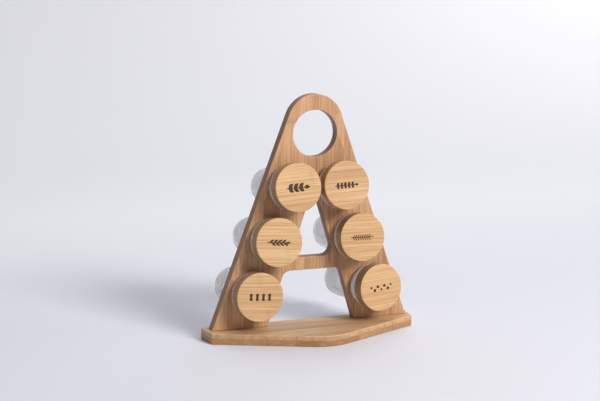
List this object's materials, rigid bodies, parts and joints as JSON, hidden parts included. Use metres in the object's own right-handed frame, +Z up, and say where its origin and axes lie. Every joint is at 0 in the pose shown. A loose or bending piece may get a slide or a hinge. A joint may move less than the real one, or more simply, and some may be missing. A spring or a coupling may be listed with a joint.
{
  "type": "spice rack",
  "caption": "A-shaped bamboo board on a flat base: flanged glass jars with bamboo lids hang through round seats in it, below a round handle hole.",
  "frame": {"origin": "on the underside of the base board, on the centre line, straight below the panel's front face", "axes": "+Z up; -Y out of the front, where the lids are; +X to the right as seen from the front"},
  "size_m": [0.2116, 0.1119, 0.2276],
  "materials": {
    "bamboo_panel": "satin",
    "bamboo_base": "satin",
    "bamboo_lid": "satin",
    "jar_glass": "polished",
    "silicone": "satin",
    "screw_steel": "satin"
  },
  "bodies": {
    "rack": {"a_frame_panel": "bamboo_panel", "base_board": "bamboo_base", "base_screws": "screw_steel"},
    "jar_top_left": {"glass_jar_top_left": "jar_glass"},
    "lid_top_left": {"lid_top_left": "bamboo_lid", "seal_top_left": "silicone"},
    "jar_top_right": {"glass_jar_top_right": "jar_glass"},
    "lid_top_right": {"lid_top_right": "bamboo_lid", "seal_top_right": "silicone"},
    "jar_middle_left": {"glass_jar_middle_left": "jar_glass"},
    "lid_middle_left": {"lid_middle_left": "bamboo_lid", "seal_middle_left": "silicone"},
    "jar_middle_right": {"glass_jar_middle_right": "jar_glass"},
    "lid_middle_right": {"lid_middle_right": "bamboo_lid", "seal_middle_right": "silicone"},
    "jar_bottom_left": {"glass_jar_bottom_left": "jar_glass"},
    "lid_bottom_left": {"lid_bottom_left": "bamboo_lid", "seal_bottom_left": "silicone"},
    "jar_bottom_right": {"glass_jar_bottom_right": "jar_glass"},
    "lid_bottom_right": {"lid_bottom_right": "bamboo_lid", "seal_bottom_right": "silicone"}
  },
  "joints": [
    {"name": "jar_top_left_slide", "type": "slide", "parent": "rack", "child": "jar_top_left", "axis": [0, -0.9903, 0.1392], "range_m": [0, 0.08]},
    {"name": "lid_top_left_pull", "type": "slide", "parent": "jar_top_left", "child": "lid_top_left", "axis": [0, -0.9903, 0.1392], "range_m": [0, 0.04]},
    {"name": "jar_top_right_slide", "type": "slide", "parent": "rack", "child": "jar_top_right", "axis": [0, -0.9903, 0.1392], "range_m": [0, 0.08]},
    {"name": "lid_top_right_pull", "type": "slide", "parent": "jar_top_right", "child": "lid_top_right", "axis": [0, -0.9903, 0.1392], "range_m": [0, 0.04]},
    {"name": "jar_middle_left_slide", "type": "slide", "parent": "rack", "child": "jar_middle_left", "axis": [0, -0.9945, 0.1045], "range_m": [0, 0.08]},
    {"name": "lid_middle_left_pull", "type": "slide", "parent": "jar_middle_left", "child": "lid_middle_left", "axis": [0, -0.9945, 0.1045], "range_m": [0, 0.04]},
    {"name": "jar_middle_right_slide", "type": "slide", "parent": "rack", "child": "jar_middle_right", "axis": [0, -0.9945, 0.1045], "range_m": [0, 0.08]},
    {"name": "lid_middle_right_pull", "type": "slide", "parent": "jar_middle_right", "child": "lid_middle_right", "axis": [0, -0.9945, 0.1045], "range_m": [0, 0.04]},
    {"name": "jar_bottom_left_slide", "type": "slide", "parent": "rack", "child": "jar_bottom_left", "axis": [0, -0.9969, 0.0785], "range_m": [0, 0.08]},
    {"name": "lid_bottom_left_pull", "type": "slide", "parent": "jar_bottom_left", "child": "lid_bottom_left", "axis": [0, -0.9969, 0.0785], "range_m": [0, 0.04]},
    {"name": "jar_bottom_right_slide", "type": "slide", "parent": "rack", "child": "jar_bottom_right", "axis": [0.1045, -0.9915, 0.078], "range_m": [0, 0.08]},
    {"name": "lid_bottom_right_pull", "type": "slide", "parent": "jar_bottom_right", "child": "lid_bottom_right", "axis": [0.1045, -0.9915, 0.078], "range_m": [0, 0.04]}
  ]
}
